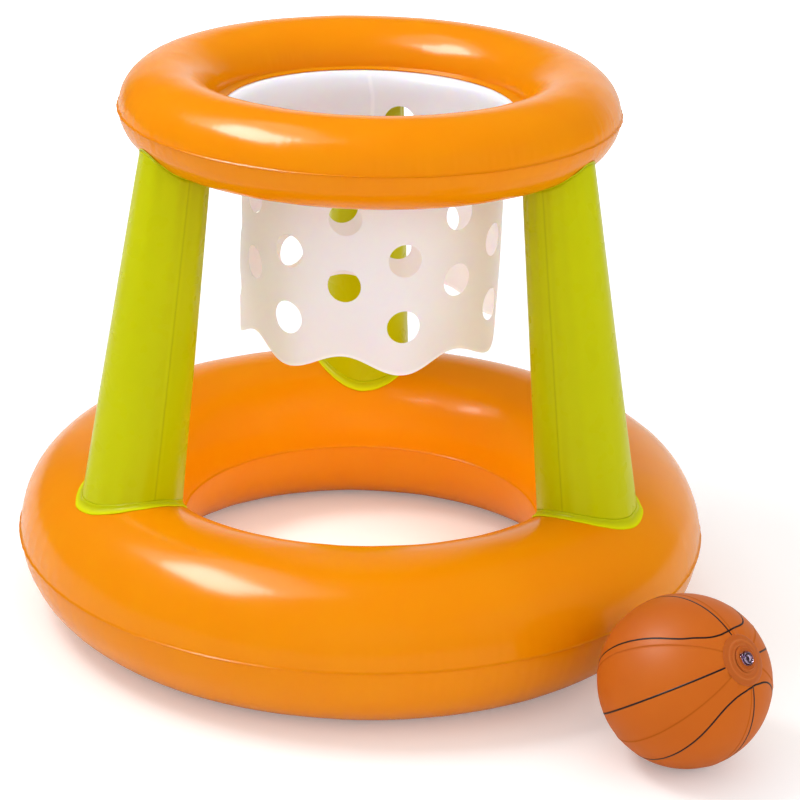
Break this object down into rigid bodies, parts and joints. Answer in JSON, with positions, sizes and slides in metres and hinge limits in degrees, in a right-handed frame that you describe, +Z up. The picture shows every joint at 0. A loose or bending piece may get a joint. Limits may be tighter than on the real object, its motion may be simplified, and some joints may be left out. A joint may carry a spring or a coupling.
{
  "type": "floating basketball hoop",
  "caption": "Inflatable pool basketball hoop: a floating base ring, tapered legs and an upper ring with a perforated film net, with its small inflatable ball beside it.",
  "frame": {"origin": "middle of the set's footprint, ring and ball together, on the ground", "axes": "+Z up, -Y towards the ball and the viewer, +X to the right of the viewer"},
  "size_m": [0.7008, 0.7379, 0.5362],
  "materials": {
    "orange_vinyl": "gloss",
    "lime_vinyl": "gloss",
    "net_film": "satin",
    "ball_vinyl": "satin",
    "clear_vinyl": "gloss"
  },
  "bodies": {
    "hoop_frame": {"base_bottom_panel": "orange_vinyl", "base_top_panel": "orange_vinyl", "base_valve_seat": "clear_vinyl", "hoop_bottom_panel": "orange_vinyl", "hoop_top_panel": "orange_vinyl", "hoop_valve_seat": "clear_vinyl", "leg_back_foot_flange": "lime_vinyl", "leg_back_inner_panel": "lime_vinyl", "leg_back_outer_panel": "lime_vinyl", "leg_back_top_collar": "lime_vinyl", "leg_left_foot_flange": "lime_vinyl", "leg_left_inner_panel": "lime_vinyl", "leg_left_outer_panel": "lime_vinyl", "leg_left_top_collar": "lime_vinyl", "leg_right_foot_flange": "lime_vinyl", "leg_right_inner_panel": "lime_vinyl", "leg_right_outer_panel": "lime_vinyl", "leg_right_top_collar": "lime_vinyl", "net_panel": "net_film"},
    "ball": {"ball_end_patch": "ball_vinyl", "ball_gore_1": "ball_vinyl", "ball_gore_2": "ball_vinyl", "ball_gore_3": "ball_vinyl", "ball_gore_4": "ball_vinyl", "ball_gore_5": "ball_vinyl", "ball_gore_6": "ball_vinyl", "ball_valve_patch": "ball_vinyl", "ball_valve_seat": "clear_vinyl"},
    "base_stem": {"base_valve_stem": "clear_vinyl"},
    "base_stopper": {"base_valve_stopper": "clear_vinyl"},
    "base_flap": {"base_valve_flap": "clear_vinyl"},
    "hoop_stem": {"hoop_valve_stem": "clear_vinyl"},
    "hoop_stopper": {"hoop_valve_stopper": "clear_vinyl"},
    "hoop_flap": {"hoop_valve_flap": "clear_vinyl"},
    "ball_stem": {"ball_valve_stem": "clear_vinyl"},
    "ball_stopper": {"ball_valve_stopper": "clear_vinyl"},
    "ball_flap": {"ball_valve_flap": "clear_vinyl"}
  },
  "joints": [
    {"name": "ball_lift", "type": "slide", "parent": "hoop_frame", "child": "ball", "axis": [0, 0, 1], "range_m": [0, 0.5]},
    {"name": "base_valve_push", "type": "slide", "parent": "hoop_frame", "child": "base_stem", "axis": [0.3836, 0.778, 0.4976], "range_m": [0, 0.009]},
    {"name": "base_stopper_swing", "type": "hinge", "parent": "base_stem", "child": "base_stopper", "pos_m": [0.12608, 0.3214, 0.12482], "axis": [0.8969, -0.4423, 0], "range_deg": [0, 165]},
    {"name": "base_flap_swing", "type": "hinge", "parent": "base_stem", "child": "base_flap", "pos_m": [0.12188, 0.31289, 0.1052], "axis": [0.8969, -0.4423, 0], "range_deg": [0, 45]},
    {"name": "hoop_valve_push", "type": "slide", "parent": "hoop_frame", "child": "hoop_stem", "axis": [0.4278, 0.6275, 0.6505], "range_m": [0, 0.009]},
    {"name": "hoop_stopper_swing", "type": "hinge", "parent": "hoop_stem", "child": "hoop_stopper", "pos_m": [0.10809, 0.21552, 0.52896], "axis": [0.8262, -0.5633, 0], "range_deg": [0, 165]},
    {"name": "hoop_flap_swing", "type": "hinge", "parent": "hoop_stem", "child": "hoop_flap", "pos_m": [0.1049, 0.21084, 0.50791], "axis": [0.8262, -0.5633, 0], "range_deg": [0, 45]},
    {"name": "ball_valve_push", "type": "slide", "parent": "ball", "child": "ball_stem", "axis": [0.582, -0.562, 0.5878], "range_m": [0, 0.009]},
    {"name": "ball_stopper_swing", "type": "hinge", "parent": "ball_stem", "child": "ball_stopper", "pos_m": [0.31504, -0.34025, 0.12697], "axis": [-0.0945, -0.7646, -0.6375], "range_deg": [0, 165]},
    {"name": "ball_flap_swing", "type": "hinge", "parent": "ball_stem", "child": "ball_flap", "pos_m": [0.3145, -0.32626, 0.11027], "axis": [-0.0945, -0.7646, -0.6375], "range_deg": [0, 45]}
  ]
}
